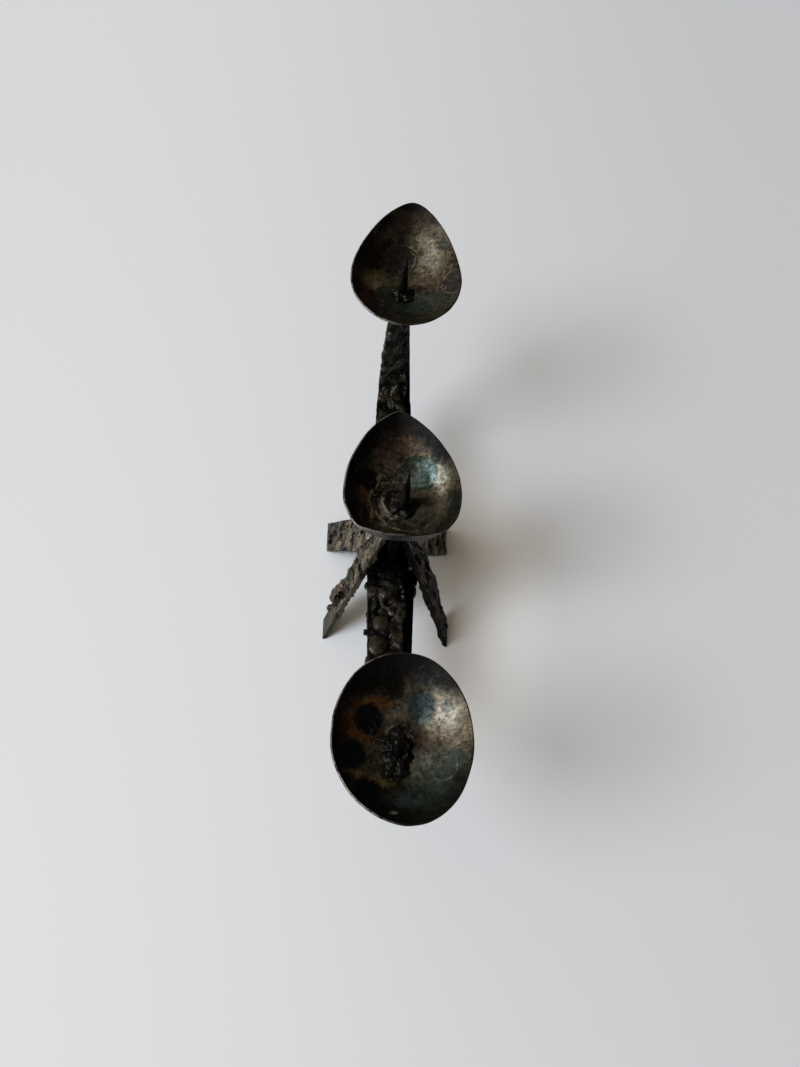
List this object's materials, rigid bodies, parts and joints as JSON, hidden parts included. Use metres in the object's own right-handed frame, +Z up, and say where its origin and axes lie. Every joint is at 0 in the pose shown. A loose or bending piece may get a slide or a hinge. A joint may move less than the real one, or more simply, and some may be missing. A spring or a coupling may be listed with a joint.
{
  "type": "candlestick",
  "caption": "Low welded iron candlestick: flat-bar arms on a splayed-leg stand carry hammered, leaf-shaped drip pans in a row, each with an upright spike for a pillar candle.",
  "frame": {"origin": "on the supporting surface, under the middle of the stand and of the overall length and width", "axes": "+Y along the arms, towards the pan whose pointed side is at that end; +X across the arms; +Z up"},
  "size_m": [0.094, 0.444, 0.2008],
  "materials": {
    "heat_tinted_sheet": "hammered, blackened and heat tinted, satin",
    "spike_steel": "blackened, satin",
    "crusted_bar": "crusted with weld slag, waxed black-brown",
    "leg_bar": "rough torch-worked bar, brown-grey",
    "weld_metal": "rough weld, dark"
  },
  "bodies": {
    "root": {"drip_pan_back": "heat_tinted_sheet", "spike_back": "spike_steel", "spike_weld_back": "weld_metal", "pan_weld_back": "weld_metal", "drip_pan_centre": "heat_tinted_sheet", "spike_centre": "spike_steel", "spike_weld_centre": "weld_metal", "pan_weld_centre": "weld_metal", "drip_pan_front": "heat_tinted_sheet", "spike_front": "spike_steel", "spike_weld_front": "weld_metal", "pan_weld_front": "weld_metal", "arm_back": "crusted_bar", "arm_front": "crusted_bar", "centre_post": "crusted_bar", "post_weld": "weld_metal", "hub_weld": "weld_metal", "leg_front_left": "leg_bar", "leg_weld_front_left": "weld_metal", "leg_front_right": "leg_bar", "leg_weld_front_right": "weld_metal", "leg_back_left": "leg_bar", "leg_weld_back_left": "weld_metal", "leg_back_right": "leg_bar", "leg_weld_back_right": "weld_metal", "peak_weld_left": "weld_metal", "peak_weld_right": "weld_metal"}
  },
  "joints": []
}
